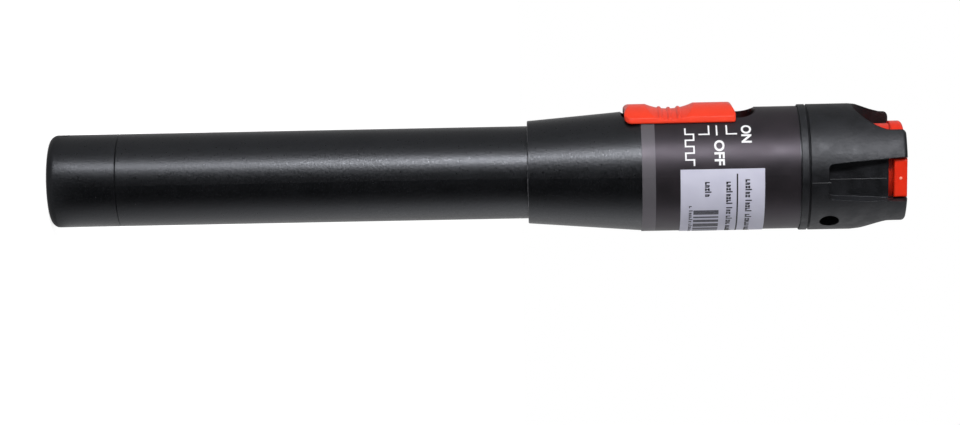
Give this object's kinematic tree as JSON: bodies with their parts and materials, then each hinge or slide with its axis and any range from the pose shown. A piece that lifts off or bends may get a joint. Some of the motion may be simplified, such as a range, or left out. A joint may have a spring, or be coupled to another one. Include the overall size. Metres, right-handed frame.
{
  "type": "visual fault locator",
  "caption": "Pen-shaped tester that sends red laser light into a fibre ferrule, with a thumb slider switch, a screw-on tail cap over its cells and a pull-off dust cap.",
  "frame": {"origin": "centre of the flat end of the tail cap, on the pen's axis", "axes": "+Z along the pen from the tail cap to the laser head, -Y towards the thumb slider"},
  "size_m": [0.0258, 0.0266, 0.175],
  "materials": {
    "black_anodised": "fine blasted, satin",
    "printed_film": "smooth satin film with plain printed marks",
    "label_stock": "plain label stock with ruled lines",
    "orange_plastic": "moulded, satin",
    "black_plastic": "moulded, fine texture",
    "seal_rubber": "smooth",
    "spring_steel": "drawn wire",
    "cell_jacket": "printed jacket over a steel can, weight of a sealed cell",
    "switch_black": "moulded",
    "switch_shell": "pressed sheet",
    "tinned_pins": "tinned",
    "board_laminate": "solder mask",
    "chip_body": "moulded, with tinned legs",
    "chip_ceramic": "fired",
    "choke_ferrite": "ferrite",
    "contact_bronze": "sprung sheet",
    "holder_plastic": "moulded",
    "turned_brass": "turned",
    "diode_can": "gold flash",
    "lens_glass": "polished",
    "zirconia": "polished",
    "port_nickel": "nickel plated",
    "screw_steel": "blackened"
  },
  "bodies": {
    "casing": {"battery_tube": "black_anodised", "rear_cell": "cell_jacket", "front_cell": "cell_jacket", "front_barrel": "black_anodised", "printed_wrap": "printed_film", "label_sticker": "label_stock", "slide_switch": "switch_shell", "switch_terminals": "tinned_pins", "circuit_board": "board_laminate", "driver_chip": "chip_body", "board_passives": "chip_ceramic", "choke": "choke_ferrite", "ground_spring": "contact_bronze", "contact_holder": "holder_plastic", "positive_contact": "contact_bronze", "laser_holder": "turned_brass", "laser_diode": "diode_can", "collimating_lens": "lens_glass", "fibre_stub": "zirconia", "ceramic_sleeve": "zirconia", "ferrule_port": "port_nickel", "head_shroud": "black_plastic", "head_set_screw": "screw_steel"},
    "slider": {"thumb_slider": "orange_plastic", "slider_carrier": "switch_black", "switch_lever": "switch_black"},
    "tail_thread": {"tail_spring": "spring_steel"},
    "tail_cap": {"tail_cap": "black_anodised", "tail_cap_o_ring": "seal_rubber"},
    "dust_cap": {"dust_cap": "orange_plastic"}
  },
  "joints": [
    {"name": "slider_travel", "type": "slide", "parent": "casing", "child": "slider", "axis": [0, 0, 1], "range_m": [0, 0.0039]},
    {"name": "tail_cap_travel", "type": "slide", "parent": "casing", "child": "tail_thread", "axis": [0, 0, -1], "range_m": [0, 0.009]},
    {"name": "tail_cap_turn", "type": "hinge", "parent": "tail_thread", "child": "tail_cap", "pos_m": [0, 0, 0], "axis": [0, 0, -1], "range_deg": [0, 3240]},
    {"name": "dust_cap_pull", "type": "slide", "parent": "casing", "child": "dust_cap", "axis": [0, 0, 1], "range_m": [0, 0.03]}
  ],
  "couplings": [
    {"joint": "tail_cap_travel", "follows": "tail_cap_turn", "m_per_rad": 0.00015915}
  ]
}
